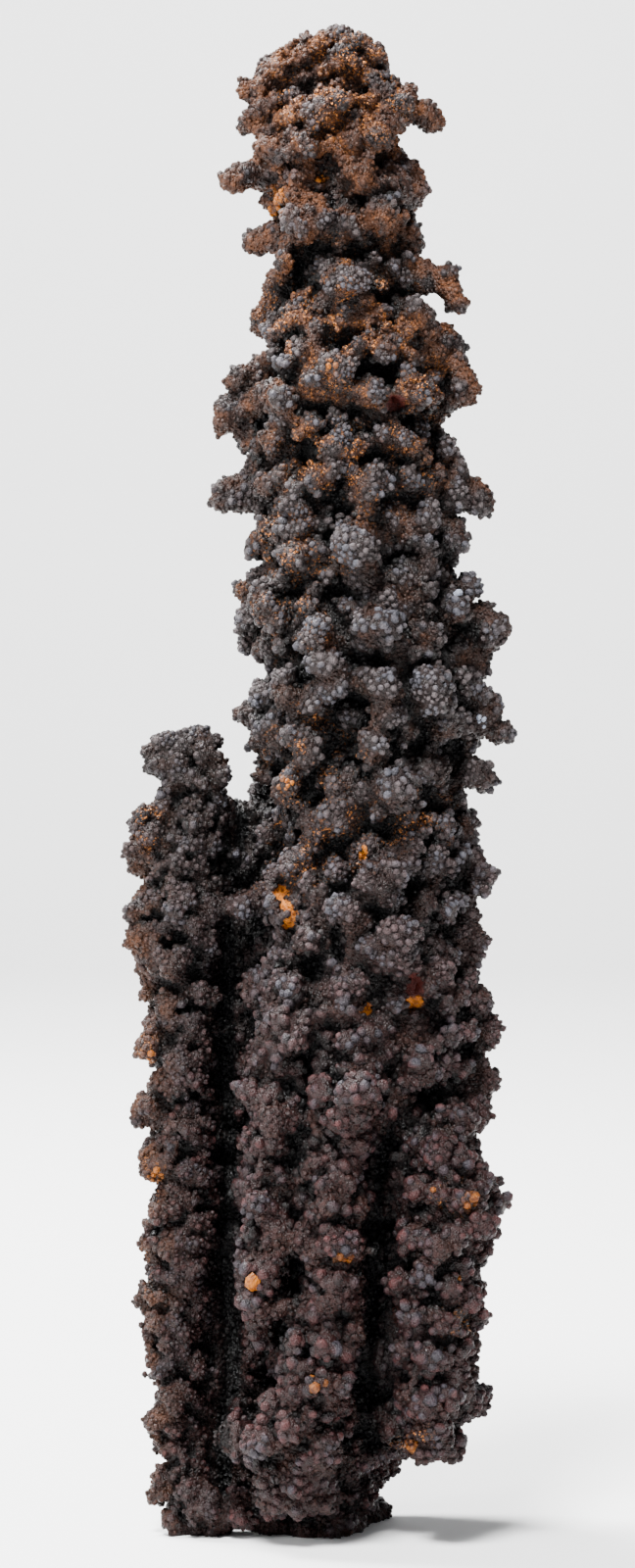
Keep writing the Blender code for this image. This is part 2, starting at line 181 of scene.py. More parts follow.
# Heads read one by one from the front of the specimen: column, row and radius in pixels of the photo
FRONT_HEADS = [
    (346, 31, 12), (327, 41, 12), (367, 38, 11), (305, 55, 12), (386, 54, 11), (284, 70, 11),
    (402, 72, 10), (263, 86, 12), (421, 90, 10), (250, 120, 10),
    (295, 221, 16), (307, 235, 10), (328, 226, 11), (288, 263, 13), (328, 263, 10), (343, 253, 8),
    (358, 226, 9), (364, 239, 8), (378, 209, 9), (399, 211, 9), (381, 261, 9), (351, 282, 20),
    (334, 292, 9), (424, 312, 14), (322, 334, 12), (364, 349, 10), (401, 345, 10), (391, 359, 14),
    (290, 370, 12), (305, 358, 10), (288, 402, 16), (320, 387, 12), (351, 376, 19), (332, 372, 9),
    (414, 379, 13), (381, 397, 13), (454, 280, 9), (240, 177, 20), (270, 150, 14), (262, 110, 14),
    (300, 95, 13), (330, 70, 12), (350, 100, 13), (380, 80, 12), (410, 100, 13), (437, 112, 15),
    (405, 130, 12), (360, 140, 12), (318, 150, 11), (300, 180, 11), (366, 554, 27), (322, 559, 14),
    (287, 543, 14), (304, 498, 12), (419, 485, 18), (467, 504, 20), (488, 521, 14), (438, 525, 21),
    (458, 552, 12), (287, 591, 14), (334, 589, 12), (254, 634, 18), (271, 615, 12), (326, 636, 21),
    (365, 638, 13), (391, 636, 20), (334, 675, 22), (293, 688, 14), (393, 699, 18), (345, 703, 12),
    (438, 701, 26), (457, 711, 14), (488, 597, 18), (467, 623, 18), (504, 645, 20), (265, 706, 16),
    (282, 730, 16), (321, 721, 12), (356, 733, 21), (471, 738, 17), (515, 750, 12), (430, 440, 16),
    (390, 440, 12), (350, 440, 11), (455, 455, 14), (320, 430, 12), (470, 400, 14), (445, 385, 13),
    (300, 460, 11), (340, 480, 12), (380, 480, 12), (292, 800, 14), (262, 802, 12), (385, 760, 13),
    (400, 799, 21), (438, 766, 18), (480, 788, 16), (445, 870, 13), (472, 872, 12), (405, 890, 19),
    (370, 905, 14), (340, 930, 20), (395, 925, 12), (409, 952, 21), (374, 968, 17), (320, 962, 12),
    (247, 925, 17), (250, 893, 12), (175, 930, 12), (186, 975, 14), (205, 1010, 12), (165, 822, 14),
    (195, 840, 10), (152, 852, 15), (158, 750, 14), (181, 741, 14), (203, 746, 13), (220, 757, 11),
    (149, 767, 10), (226, 790, 12),
    (137, 845, 13), (130, 866, 12), (141, 826, 10), (300, 1010, 19),
    (280, 1040, 15), (306, 1062, 14), (345, 1010, 14), (355, 1058, 16), (480, 1050, 15),
    (503, 1060, 10), (484, 905, 14), (460, 930, 14), (490, 975, 10), (480, 1000, 12), (300, 850, 12),
    (330, 830, 12), (270, 850, 12), (225, 1053, 14), (245, 1062, 13), (250, 1110, 12), (226, 1165, 12),
    (190, 1190, 14), (264, 1172, 12), (266, 1226, 18), (311, 1225, 17), (265, 1300, 20),
    (256, 1330, 15), (212, 1280, 14), (325, 1112, 18), (320, 1082, 12), (365, 1107, 24),
    (396, 1135, 14), (345, 1142, 14), (345, 1268, 24), (355, 1382, 15), (330, 1375, 15),
    (352, 1416, 12), (300, 1370, 14), (232, 1463, 12), (262, 1470, 21), (292, 1458, 15),
    (312, 1492, 19), (335, 1475, 15), (440, 1172, 19), (472, 1182, 15), (420, 1212, 16),
    (446, 1217, 13), (472, 1226, 15), (415, 1265, 14), (440, 1272, 16), (466, 1260, 17),
    (493, 1250, 16), (510, 1230, 13), (405, 1310, 15), (430, 1302, 14), (460, 1312, 16),
    (490, 1342, 14), (418, 1342, 14), (440, 1382, 19), (402, 1390, 12), (398, 1430, 14),
    (431, 1432, 23), (460, 1420, 18), (446, 1462, 17), (160, 1190, 13), (160, 1240, 12),
    (160, 1300, 13), (155, 1350, 12), (165, 1400, 12), (155, 1450, 13), (170, 1480, 13),
    (190, 1520, 14), (175, 1555, 13), (215, 1545, 13), (245, 1550, 14), (300, 1520, 13),
    (340, 1515, 13), (370, 1495, 12), (150, 1070, 14), (150, 1130, 14), (200, 1100, 13),
    (200, 1400, 12), (204, 1427, 12),
]

# Bare sunk patches on the front: column, row, half width, half height in pixels, and lean in degrees
OCHRE_PITS = [
    (286, 911, 7, 8, 25),
    (292, 925, 5, 8, -30),
    (297, 938, 5, 9, 20),
    (291, 944, 4, 5, 0),
    (370, 872, 4, 7, 0),
    (425, 1024, 10, 6, 0),
    (374, 1031, 6, 6, 0),
]
RED_PITS = [
    (423, 1007, 9, 13, 10),
    (403, 412, 9, 8, 0),
]

# The deep clefts between the ridges, and the hollows of the front, given the same way; they are sunk, kept
# free of random heads and darkened with painted shade
CLEFTS = [
    (246, 820, 9, 45, 0),
    (232, 985, 9, 50, 0),
    (230, 1075, 11, 60, 0),
    (233, 1180, 10, 80, 0),
    (231, 1290, 10, 80, 0),
    (236, 1390, 11, 60, 5),
    (228, 1480, 9, 55, 0),
    (392, 1180, 9, 38, 10),
    (381, 1250, 9, 50, 8),
    (379, 1330, 8, 60, 0),
    (372, 1415, 14, 42, 0),
    (378, 1465, 14, 22, 0),
    (345, 962, 9, 22, 0),
    (318, 987, 14, 16, 0),
    (305, 848, 5, 5, 0),
    (302, 1305, 7, 34, 0),
    (287, 1364, 10, 17, 0),
]

# Places where the globules themselves are ochre
OCHRE_PLACES = [
    (349, 1283, 8, 5, 0),
    (257, 1314, 3, 8, -10),
    (478, 1225, 5, 9, 30),
    (441, 1215, 5, 4, 0),
    (471, 1304, 5, 4, 0),
    (324, 1410, 7, 8, 0),
    (258, 1420, 4, 8, 0),
    (160, 1200, 8, 6, 0),
    (154, 1078, 7, 6, 0),
    (280, 205, 12, 16, 0),
    (329, 181, 6, 6, 0),
    (292, 802, 7, 8, 0),
    (345, 372, 12, 9, 0),
    (420, 1475, 8, 4, 0),
]
# Places where the globules take a pale bluish colour, a painted glint of small glossy crystal faces
PAINTED_GLINT_PLACES = [
    (491, 737, 4, 7, -10),
    (468, 604, 3, 3, 0),
]

# Places that glow with fine coppery grains
GRAINY_PLACES = [
    (360, 470, 95, 70, 0),
    (300, 590, 60, 90, 0),
    (330, 850, 90, 45, 0),
    (425, 835, 45, 35, 0),
    (320, 770, 55, 60, 0),
    (300, 880, 50, 40, 0),
    (150, 845, 16, 30, 0),
    (150, 1075, 12, 30, 0),
    (153, 1205, 12, 32, 0),
    (150, 1295, 10, 26, 0),
    (465, 1350, 20, 20, 0),
    (425, 1470, 28, 12, 0),
    (460, 1220, 26, 22, 0),
    (345, 330, 90, 90, 0),
    (430, 400, 40, 45, 0),
    (345, 90, 90, 70, 0),
]

# Which heads are grey: nearly all below, fewer in the upper part, and the read ones except at the top
RUSTY_UPPER = 0.45
RUSTY_TOP = 0.30
READ_BELOW_TOP = 0.3
READ_SHADE = 0.5
GREY_LEAST = 0.30
RUSTY_MOST = 0.15

# How rust grows with height, and along the left edge, in millimetres
RUST_LEAST = 0.10
RUST_UPPER_SHARE = 0.75
RUST_UPPER = (98.0, 125.0)
RUST_MIDDLE_SHARE = 0.25
RUST_MIDDLE = (60.0, 95.0)
RUST_EDGE_SHARE = 0.85
RUST_EDGE = (13.0, 17.0)
RUST_EDGE_TOP = (60.0, 80.0)

# How clean of rust and grains the grey heads are
CLEAN_PROUD = (0.30, 0.80)
CLEAN_SHADE = (0.10, 0.35)
CLEAN_LOSS_TOP = 0.5
CLEAN_LOSS_SHORT = 0.6
CLEAN_OF_RUST = 0.92
CLEAN_OF_GRAINS = 0.80

# Colours of the stone: red, green, blue and alpha
# The dark colours are the ground between the heads, and they also serve as painted shade in recesses
DARK_LOW = (0.0120, 0.0032, 0.0030, 1.0)
DARK_MID = (0.0095, 0.0052, 0.0048, 1.0)
REDDISH_LOW = (0.036, 0.0105, 0.0105, 1.0)
BLUISH_LOW = (0.023, 0.0195, 0.0250, 1.0)
REDDISH_MID = (0.064, 0.052, 0.053, 1.0)
BLUISH_MID = (0.058, 0.058, 0.070, 1.0)
BROWN_DARK = (0.028, 0.010, 0.005, 1.0)
BROWN_LIGHT = (0.080, 0.027, 0.009, 1.0)
OCHRE_DARK = (0.17, 0.042, 0.002, 1.0)
OCHRE_LIGHT = (0.42, 0.13, 0.006, 1.0)
DEEP_RED = (0.045, 0.0060, 0.0040, 1.0)
COPPER = (0.36, 0.130, 0.034, 1.0)
# A pale bluish colour painted as the glint of small crystal faces
PAINTED_GLINT = (0.24, 0.26, 0.32, 1.0)

# Scale and detail of the noises, and scale of the cells
PATCHES_NOISE = (330.0, 3.0)
BROAD_NOISE = (420.0, 1.0)
FINE_NOISE = (1700.0, 2.0)
WOBBLE_NOISE = (1000.0, 2.0)
GRAIN_CELLS = 5400.0
RELIEF_CELLS = 4600.0

# How values turn into shares: from low, from high and, if not 0 and 1, to low and to high
HEAD_PROUD = (0.35, 1.10)
# The next range lowers the light head share in recesses, which is painted shade
HEAD_OPEN_SHADE = (0.35, 0.85)
HEAD_CHANCE = (0.0, 1.0, 0.65, 1.10)
HEAD_SHADE = (0.0, 1.0, 0.20, 1.15)
# The next range gives the crust its light share from openness alone, which is painted shade
BED_OPEN_SHADE = (0.6, 1.4, 0.0, 0.10)
MID_HEIGHT = (42.0, 78.0)
BLUISH_BROAD = (0.44, 0.60)
BROWN_BROAD = (0.35, 0.65)
RUST_PATCHES = (0.36, 0.54)
RUST_OPEN = (0.15, 0.5)
SHADE_FINE = (0.3, 0.7, 0.6, 1.4)
# The next three ranges set how deep the painted shade of hollows and of each globule's foot goes
SHADE_OPEN = (0.22, 0.72, 0.12, 1.0)
SHADE_ROOM = (0.30, 0.60, 0.05, 1.0)
SHADE_TIP = (0.0, 0.9, 0.22, 1.15)
GRAIN_PICK = (0.80, 0.85)
GRAIN_BROAD = (0.42, 0.56)
GRAIN_OPEN = (0.35, 0.6)
GRAIN_HEAD = (0.20, 0.55, 1.0, 0.10)
OCHRE_FINE = (0.35, 0.65)
OCHRE_PATCHES = (0.35, 0.55)
WOBBLE = (0.0, 1.0, -0.6, 0.6)
ROUGH_FINE = (0.3, 0.7, 0.38, 0.60)
HILL = (0.0, 0.8, 1.0, 0.0)

# The surface of the stone
SPECULAR = 0.22
GRAIN_METAL = 0.7
GRAIN_POLISH = 0.12
RELIEF_STRENGTH = 0.85
RELIEF_HEIGHT = 0.13 * MM

# The studio sheet seen from the side, in metres: the floor, then a curve, then a wall beyond the cameras
STUDIO_PROFILE = [
    (-3.0, 0.0), (1.30, 0.0), (1.42, 0.015), (1.52, 0.06),
    (1.59, 0.13), (1.63, 0.22), (1.65, 0.34), (1.65, 2.4),
]
STUDIO_HALF_WIDTH = 3.0
FLOOR_COLOUR = (0.90, 0.90, 0.90, 1.0)
FLOOR_ROUGHNESS = 0.85
FLOOR_SPECULAR = 0.1
WORLD_COLOUR = (0.93, 0.96, 1.0, 1.0)
WORLD_STRENGTH = 0.25

# Lamps: name, place and aim in metres, size in metres and power in watts
LAMPS = [
    ("key", (-0.10, -0.30, 0.55), (0.0, 0.0, 0.08), 0.14, 13.0),
    ("side", (-0.55, -0.25, 0.25), (0.0, 0.0, 0.08), 0.20, 3.0),
    ("rim", (-0.3, 0.2, 0.7), (-0.1, 0.65, 0.10), 0.3, 32.0),
    ("wall", (0.0, 0.95, 1.0), (0.0, 1.65, 0.35), 0.5, 16.0),
]


def smooth_step(low, high, value):
    """0 below low, 1 above high, and smooth between them."""
    share = np.clip((value - low) / (high - low), 0.0, 1.0)
    return share * share * (3.0 - 2.0 * share)


def unit(ways):
    """The same directions with length 1."""
    return ways / np.linalg.norm(ways, axis=1)[:, None]


def mesh_arrays(mesh):
    """The vertices, triangles and vertex normals of a mesh as arrays."""
    mesh.calc_loop_triangles()
    vertices = np.empty(len(mesh.vertices) * 3)
    mesh.vertices.foreach_get("co", vertices)
    normals = np.empty(len(mesh.vertices) * 3)
    mesh.vertices.foreach_get("normal", normals)
    triangles = np.empty(len(mesh.loop_triangles) * 3, dtype=np.int64)
    mesh.loop_triangles.foreach_get("vertices", triangles)
    return vertices.reshape(-1, 3), triangles.reshape(-1, 3), normals.reshape(-1, 3)


def mesh_from(name, vertices, triangles):
    """A smooth-shaded mesh from arrays."""
    mesh = bpy.data.meshes.new(name)
    mesh.vertices.add(len(vertices))
    mesh.vertices.foreach_set("co", np.ascontiguousarray(vertices, dtype=np.float32).ravel())
    mesh.loops.add(triangles.size)
    mesh.loops.foreach_set("vertex_index", np.ascontiguousarray(triangles, dtype=np.int32).ravel())
    mesh.polygons.add(len(triangles))
    mesh.polygons.foreach_set("loop_start", np.arange(0, triangles.size, 3, dtype=np.int32))
    mesh.update(calc_edges=True)
    mesh.shade_smooth()
    return mesh


def placed_object(name, data):
    """A new object in the scene."""
    item = bpy.data.objects.new(name, data)
    bpy.context.scene.collection.objects.link(item)
    return item


def ray_tree(vertices, triangles):
    """A tree of triangles for casting rays."""
    return BVHTree.FromPolygons(vertices.tolist(), triangles.tolist())


def tree_of_points(points):
    """A tree for finding the nearest of many points."""
    tree = KDTree(len(points))
    for index, point in enumerate(points):
        tree.insert(point, index)
    tree.balance()
    return tree


def scattered(surface, count, chance):
    """Random points spread evenly over a surface, with their normals."""
    vertices, triangles, normals = surface
    corners = vertices[triangles]
    area = np.linalg.norm(np.cross(corners[:, 1] - corners[:, 0], corners[:, 2] - corners[:, 0]), axis=1)
    picked = chance.choice(len(triangles), size=count, p=area / area.sum())
    first = np.sqrt(chance.random(count))
    second = chance.random(count)
    weights = np.stack([1.0 - first, first * (1.0 - second), first * second], axis=1)
    points = np.einsum("ij,ijk->ik", weights, corners[picked])
    normal = np.einsum("ij,ijk->ik", weights, normals[triangles[picked]])
    normal /= np.linalg.norm(normal, axis=1)[:, None] + 1e-12
    return points, normal


def well_apart(points, spacing):
    """Indices of points that keep their own spacing to each other, taken in the order given."""
    tree = tree_of_points(points)
    free = np.ones(len(points), dtype=bool)
    kept = []
    for index in range(len(points)):
        if free[index]:
            kept.append(index)
            for _, near, _ in tree.find_range(points[index], spacing[index]):
                free[near] = False
    return np.array(kept)


def ball_template(levels):
    """Vertices and triangles of a round ball, coarser or finer."""
    grid = bmesh.new()
    bmesh.ops.create_icosphere(grid, subdivisions=levels, radius=1.0)
    return arrays_of(grid)


def arrays_of(grid):
    """The vertices, triangles and normals of a bmesh, which is used up."""
    mesh = bpy.data.meshes.new("passing")
    grid.to_mesh(mesh)
    grid.free()
    arrays = mesh_arrays(mesh)
    bpy.data.meshes.remove(mesh)
    return arrays


def dome_template(sides, heights):
    """A dome with a tip and rings, given as the height of each ring on a unit ball."""
    vertices = [(0.0, 0.0, 1.0)]
    for level, height in enumerate(heights):
        reach = math.sqrt(1.0 - height * height)
        for side in range(sides):
            angle = 2.0 * math.pi * (side + 0.5 * level) / sides
            vertices.append((reach * math.cos(angle), reach * math.sin(angle), height))
    triangles = []
    for side in range(sides):
        after = (side + 1) % sides
        triangles.append((0, 1 + side, 1 + after))
    for level in range(len(heights) - 1):
        upper = 1 + level * sides
        lower = upper + sides
        for side in range(sides):
            after = (side + 1) % sides
            triangles.append((upper + side, lower + side, upper + after))
            triangles.append((upper + after, lower + side, lower + after))
    return np.array(vertices), np.array(triangles)


def upright_frames(axis, chance):
    """Three axes for each direction, with a random turn about it."""
    side = unit(np.cross(axis, chance.normal(size=axis.shape)))
    return side, np.cross(axis, side), axis


def copies(template, centres, axis, radii, chance, roughness=0.0, squeeze=0.0):
    """Many copies of a template, each with its own place, direction, size and unevenness."""
    shape, triangles = template[:2]
    side, other, up = upright_frames(axis, chance)
    local = shape[None, :, :] * (1.0 + squeeze * chance.uniform(-1.0, 1.0, size=(len(centres), 1, 3)))
    if roughness:
        local = local * (1.0 + roughness * chance.uniform(-1.0, 1.0, size=local.shape[:2]))[:, :, None]
    placed = (
        local[:, :, 0:1] * side[:, None, :]
        + local[:, :, 1:2] * other[:, None, :]
        + local[:, :, 2:3] * up[:, None, :]
    )
    placed = centres[:, None, :] + placed * radii[:, None, None]
    faces = triangles[None, :, :] + (np.arange(len(centres)) * len(shape))[:, None, None]
    return placed.reshape(-1, 3), faces.reshape(-1, 3)


def joined(parts):
    """Several sets of vertices and triangles as one."""
    starts = np.cumsum([0] + [len(part[0]) for part in parts[:-1]])
    vertices = np.concatenate([part[0] for part in parts])
    triangles = np.concatenate([part[1] + start for part, start in zip(parts, starts)])
    return vertices, triangles


def zones(points, outward):
    """How far each place belongs to the lower front, the short stalactite, the top and so on."""
    height = points[:, 2] / MM
    short = smooth_step(*SHORT_SIDE, -points[:, 0] / MM) * (1.0 - smooth_step(*SHORT_TOP, height))
    low = (1.0 - smooth_step(*LOW_TOP, height)) * smooth_step(*LOW_FRONT, -points[:, 1] / MM)
    return {
        "short": short,
        "low": low * (1.0 - short),
        "upper": smooth_step(*UPPER_START, height),
        "top": smooth_step(*TOP_START, height),
        "away": smooth_step(*AWAY_TURN, outward[:, 1]),
    }


def zoned_radius(zone, usual, own):
    """The usual radius, moved towards the own radius of each zone as far as the zone goes."""
    radius = np.full(len(zone["low"]), usual)
    for name, wanted in own.items():
        radius = radius + zone[name] * (wanted - radius)
    return radius * MM


def globule_size(zone):
    """The radius of the globules: coarse at the lower front, fine at the left."""
    return zoned_radius(zone, GLOBULE_RADIUS, GLOBULE_RADII)


def clumps_at(points):
    """Smooth random values from 0 to 1, so that large heads stand in groups."""
    values = np.array([noise.noise(Vector(point) / CLUMP_SIZE) for point in points])
    return np.clip(0.5 + CLUMP_CONTRAST * values, 0.0, 1.0)


def patch_distance(points, outward, patches, deepest=FRONT_DEEPEST):
    """How far each place is from the nearest patch that is read from the front: 1 on its edge."""
    eye = np.array(CAMERA_PLACE)
    scale = -eye[1] / (points[:, 1] - eye[1])
    column = MIDDLE_COLUMN + points[:, 0] * scale / PIXEL
    row = FOOT_ROW - (eye[2] + (points[:, 2] - eye[2]) * scale) / PIXEL
    nearest = np.full(len(points), NO_PATCH)
    for middle_column, middle_row, half_width, half_height, lean in patches:
        turn = math.radians(lean)
        across = column - middle_column
        down = row - middle_row
        wide = (across * math.cos(turn) + down * math.sin(turn)) / half_width
        tall = (down * math.cos(turn) - across * math.sin(turn)) / half_height
        nearest = np.minimum(nearest, np.sqrt(wide * wide + tall * tall))
    hidden = (outward[:, 1] > HIDDEN_TURN) | (points[:, 1] > deepest)
    nearest[hidden] = NO_PATCH
    return nearest


def inside_at(points, outward, patches, edge, deepest=FRONT_DEEPEST):
    """1 inside the patches of the front, 0 outside them, and smooth across their edge."""
    return 1.0 - smooth_step(*edge, patch_distance(points, outward, patches, deepest))


def cleft_at(points, outward):
    """1 in the dark clefts of the front, 0 outside them."""
    return inside_at(points, outward, CLEFTS, CLEFT_EDGE, CLEFT_DEEPEST)


def shade_at(points, outward):
    """How much of its colour the stone keeps under painted shade: less in the clefts and on the short
    stalactite.
    """
    short = zones(points, outward)["short"]
    return (1.0 - (1.0 - SHORT_SHADE) * short) * (1.0 - (1.0 - CLEFT_SHADE) * cleft_at(points, outward))


def front_ray(column, row):
    """The way from the camera through one place of the front."""
    aim = Vector(((column - MIDDLE_COLUMN) * PIXEL, 0.0, (FOOT_ROW - row) * PIXEL))
    return (aim - Vector(CAMERA_PLACE)).normalized()


def placed_heads(tree):
    """The heads read one by one from the front, as places on the surface."""
    eye = Vector(CAMERA_PLACE)
    points, outward, radii = [], [], []
    for column, row, radius in FRONT_HEADS:
        way = front_ray(column, row)
        hit, normal, _, _ = tree.ray_cast(eye, way)
        if hit is None:
            hit, normal, _, _ = tree.find_nearest(eye - way * (eye.y / way.y))
        points.append(hit)
        outward.append((normal + Vector((0.0, -PLACED_TURN, 0.0))).normalized())
        radii.append(radius * PIXEL)
    return np.array(points), np.array(outward), np.array(radii)


def cad_skin():
    """The CAD solid as arrays, with its split vertices joined."""
    grid = bmesh.new()
    grid.from_mesh(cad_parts[NODE].data)
    bmesh.ops.remove_doubles(grid, verts=grid.verts, dist=JOIN_DISTANCE)
    return arrays_of(grid)


def evaluated(item):
    """The mesh of an object with its modifiers applied; the object itself is used up."""
    bpy.context.view_layer.update()
    graph = bpy.context.evaluated_depsgraph_get()
    mesh = bpy.data.meshes.new_from_object(item.evaluated_get(graph), depsgraph=graph)
    bpy.data.objects.remove(item, do_unlink=True)
    return mesh


def remeshed(vertices, triangles, voxel):
    """Overlapping shapes grown together into one skin."""
    item = placed_object("grown", mesh_from("grown", vertices, triangles))
    remesh = item.modifiers.new("grow_together", "REMESH")
    remesh.mode = "VOXEL"
    remesh.voxel_size = voxel
    return evaluated(item)


def thinned(mesh, target):
    """The mesh with about as many triangles as wanted."""
    mesh.calc_loop_triangles()
    now = len(mesh.loop_triangles)
    item = placed_object("thinned", mesh)
    decimate = item.modifiers.new("fewer", "DECIMATE")
    decimate.ratio = target / now
    decimate.use_collapse_triangulate = True
    return evaluated(item)


def thickness(solid, point, inward):
    """How thick the stone is behind one place of its skin, straight inwards and aslant."""
    side = inward.orthogonal().normalized()
    other = inward.cross(side)
    lengths = []
    for tilt in (Vector(), side, -side, other, -other):
        way = (inward + ASLANT * tilt).normalized()
        lengths.append(solid.ray_cast(point + way * INWARD_START, way)[3] or 0.0)
    return min(lengths)


def inset_skin(skin, solid):
    """The skin moved inwards, less where the stone is thin, with the foot left on the floor."""
    vertices, _, normals = skin
    inner = vertices.copy()
    for index, vertex in enumerate(vertices):
        inward = Vector(-normals[index]).normalized()
        inset = min(SKIN_INSET, INSET_SHARE * thickness(solid, Vector(vertex), inward))
        inner[index] += np.array(inward) * inset
    foot = vertices[:, 2] < FOOT_TOLERANCE
    inner[foot, 2] = vertices[foot, 2]
    return inner


def random_heads(skin, chance):
    """Places, directions, radii and sinks of random heads, far more than there is room for."""
    points, outward = scattered(skin, HEAD_CANDIDATES, chance)
    radius = zoned_radius(zones(points, outward), HEAD_RADIUS, HEAD_RADII)
    radius = radius * (CLUMP_LEAST + CLUMP_GAIN * clumps_at(points))
    radius *= 1.0 + HEAD_SPREAD * chance.uniform(-1.0, 1.0, len(points))
    return points, outward, radius, chance.uniform(*HEAD_SINK, len(points))


def chosen_heads(skin, solid, chance):
    """Place, direction, radius and sink of every head: the read ones first, then random ones."""
    placed = placed_heads(solid)
    count = len(placed[0])
    candidates = (*placed, np.full(count, PLACED_SINK))
    points, outward, radius, sink = (
        np.concatenate(pair) for pair in zip(candidates, random_heads(skin, chance))
    )
    _, far = openness_at(solid, points, outward, chance)
    room = smooth_step(*ROOMY, far)
    radius *= CRAMPED_RADIUS + (1.0 - CRAMPED_RADIUS) * room
    sink += CRAMPED_SINK * (1.0 - room)
    bare = patch_distance(points, outward, OCHRE_PITS + RED_PITS) < BARE_MARGIN
    bare[count:] |= cleft_at(points[count:], outward[count:]) > HEADLESS_CLEFT
    first = np.nonzero(~bare[:count])[0]
    first = first[well_apart(points[first], radius[first] * PLACED_SPACING)]
    rest = count + np.nonzero(~bare[count:])[0]
    order = np.concatenate([first, rest])
    kept = order[well_apart(points[order], radius[order] * HEAD_SPACING)]
    kept = np.unique(np.concatenate([first, kept]))
    read = kept < count
    return points[kept] - outward[kept] * HEAD_INSET, outward[kept], radius[kept], sink[kept], read


def sink_patches(mesh):
    """Push the pits and the clefts of the front inwards."""
    vertices, _, normals = mesh_arrays(mesh)
    for patches, depth in ((OCHRE_PITS, OCHRE_DEPTH), (RED_PITS, RED_DEPTH)):
        vertices[:, 1] += depth * inside_at(vertices, normals, patches, PIT_SLOPE)
    vertices[:, 1] += CLEFT_DEPTH * cleft_at(vertices, normals)
    mesh.vertices.foreach_set("co", vertices.astype(np.float32).ravel())
    mesh.update()


def head_shades(centres, read, chance):
    """How grey each head is: nearly all are grey below, and few at the rusty top."""
    zone = zones(centres, centres * 0.0)
    grey_share = 1.0 - RUSTY_UPPER * zone["upper"] - RUSTY_TOP * zone["top"]
    grey = (chance.random(len(centres)) < grey_share) | (read & (zone["top"] < READ_BELOW_TOP))
    shade = chance.random(len(centres))
    shade[read] = READ_SHADE + (1.0 - READ_SHADE) * shade[read]
    return np.where(grey, GREY_LEAST + (1.0 - GREY_LEAST) * shade, RUSTY_MOST * shade)


def lobed(centres, radius, outward, chance):
    """Each head as one ball with a few lobes: centres, radii, and the head that each belongs to."""
    owner = np.repeat(np.arange(len(radius)), LOBES)
    way = unit(chance.normal(size=(len(owner), 3)) + LOBE_LEAN * outward[owner])
    lobe_radius = radius[owner] * chance.uniform(*LOBE_RADIUS, len(owner))
    lobe_centres = centres[owner] + way * (radius[owner] * LOBE_OFFSET)[:, None]
    return (
        np.concatenate([centres, lobe_centres]),
        np.concatenate([BALL_SHARE * radius, lobe_radius]),
        np.concatenate([np.arange(len(radius)), owner]),
    )


def knobs_on(centres, ball, outward, small, chance):
    """Knobs on the outer side of each ball: their places, directions and radii."""
    owner = np.repeat(np.arange(len(centres)), KNOBS_TRIED)
    way = unit(chance.normal(size=(len(owner), 3)))
    facing = np.einsum("ij,ij->i", way, outward[owner])
    owner, way = owner[facing > KNOB_FACING], way[facing > KNOB_FACING]
    knob = KNOB_SHARE * small[owner] * (1.0 + KNOB_SPREAD * chance.uniform(-1.0, 1.0, len(owner)))
    knob = np.minimum(knob, KNOB_MOST * ball[owner])
    spot = centres[owner] + way * (ball[owner] - KNOB_SINK * knob)[:, None]
    order = chance.permutation(len(owner))
    spot, way, knob = spot[order], way[order], knob[order]
    kept = well_apart(spot, knob * KNOB_SPACING)
    return spot[kept], way[kept], knob[kept]


def grown_crust(chance):
    """The crust with its heads and knobs, grown on the CAD solid."""
    skin = cad_skin()
    vertices, triangles, _ = skin
    solid = ray_tree(vertices, triangles)
    points, outward, radius, sink, read = chosen_heads(skin, solid, chance)
    small = globule_size(zones(points, outward))
    head_centres = points - outward * (radius * sink)[:, None]
    inner = inset_skin(skin, solid)
    centres, ball, host = lobed(head_centres, radius, outward, chance)
    spot, way, knob = knobs_on(centres, ball, outward[host], small[host], chance)
    heads = copies(ball_template(HEAD_BALL_LEVELS), centres, outward[host], ball * BALL_SHRINK, chance)
    knobs = copies(ball_template(KNOB_BALL_LEVELS), spot, way, knob, chance)
    grown = remeshed(*joined([(inner, triangles), heads, knobs]), CRUST_VOXEL)
    sink_patches(grown)
    shades = head_shades(head_centres, read, chance)
    return grown, ray_tree(inner, triangles), head_centres, shades, solid


def directions(count):
    """Even directions over a half ball about +Z."""
    index = np.arange(count) + 0.5
    height = 1.0 - index / count
    angle = math.pi * (1.0 + math.sqrt(5.0)) * index
    reach = np.sqrt(1.0 - height * height)
    return np.stack([reach * np.cos(angle), reach * np.sin(angle), height], axis=1)


def openness_at(tree, points, outward, chance):
    """How open each place is, near by and far around, from 0 in a deep cleft to 1 on a free tip."""
    side, other, up = upright_frames(outward, chance)
    near = np.zeros(len(points))
    far = np.zeros(len(points))
    start = points + outward * RAY_LIFT
    for ray in directions(RAYS):
        way = side * ray[0] + other * ray[1] + up * ray[2]
        reach = [tree.ray_cast(start[index], way[index], FAR_REACH)[3] for index in range(len(points))]
        reach = np.array([FAR_REACH if length is None else length for length in reach])
        near += np.where(reach > NEAR_REACH, 1.0, NEAR_SHARE * reach / NEAR_REACH)
        far += reach / FAR_REACH
    return near / RAYS, far / RAYS


def clean_at(points, proud, head_shade):
    """1 on the grey heads, 0 on the ground between them, and less at the top and on the left."""
    zone = zones(points, points * 0.0)
    rusty_zone = (1.0 - CLEAN_LOSS_TOP * zone["top"]) * (1.0 - CLEAN_LOSS_SHORT * zone["short"])
    return smooth_step(*CLEAN_PROUD, proud) * smooth_step(*CLEAN_SHADE, head_shade) * rusty_zone


